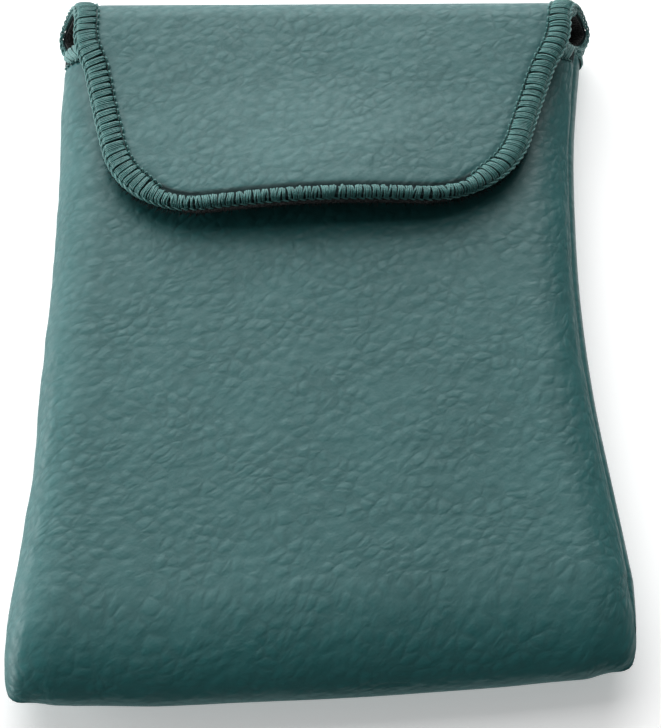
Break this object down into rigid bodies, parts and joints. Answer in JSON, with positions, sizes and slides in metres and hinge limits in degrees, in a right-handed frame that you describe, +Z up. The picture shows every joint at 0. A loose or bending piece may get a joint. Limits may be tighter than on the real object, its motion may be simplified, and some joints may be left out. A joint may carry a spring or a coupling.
{
  "type": "card holder",
  "caption": "Soft pebbled-leather pouch for cards: a waisted pocket with turned side seams and a rounded flap that rolls over its mouth, every free edge bound with overlock thread.",
  "frame": {"origin": "middle of the footprint, on the surface that the pouch lies on", "axes": "+X to the right, +Y from the bottom fold to the top fold, +Z up through the front and the closed flap"},
  "size_m": [0.0744, 0.105, 0.0126],
  "materials": {
    "leather": "pebbled, satin",
    "lining": "napped, matt",
    "thread": "dense overlock stitching",
    "magnet": "nickel plated"
  },
  "bodies": {
    "pouch": {"outer_leather": "leather", "pocket_lining": "lining", "left_seam_overlock": "thread", "right_seam_overlock": "thread", "mouth_overlock": "thread", "neck_overlock": "thread", "front_magnet": "magnet"},
    "fold_1": {"fold_1_leather": "leather", "fold_1_lining": "lining", "fold_1_overlock": "thread"},
    "fold_2": {"fold_2_leather": "leather", "fold_2_lining": "lining", "fold_2_overlock": "thread"},
    "flap": {"flap_leather": "leather", "flap_lining": "lining", "flap_overlock": "thread", "flap_magnet": "magnet"}
  },
  "joints": [
    {"name": "neck_bend", "type": "hinge", "parent": "pouch", "child": "fold_1", "pos_m": [0, 0.05009, 0.00133], "axis": [-1, 0, 0], "range_deg": [0, 59]},
    {"name": "top_bend", "type": "hinge", "parent": "fold_1", "child": "fold_2", "pos_m": [0, 0.0525, 0.00628], "axis": [-1, 0, 0], "range_deg": [0, 59]},
    {"name": "flap_bend", "type": "hinge", "parent": "fold_2", "child": "flap", "pos_m": [0, 0.05009, 0.01122], "axis": [-1, 0, 0], "range_deg": [0, 59]}
  ],
  "couplings": [
    {"joint": "top_bend", "follows": "neck_bend", "ratio": 1},
    {"joint": "flap_bend", "follows": "neck_bend", "ratio": 1}
  ]
}
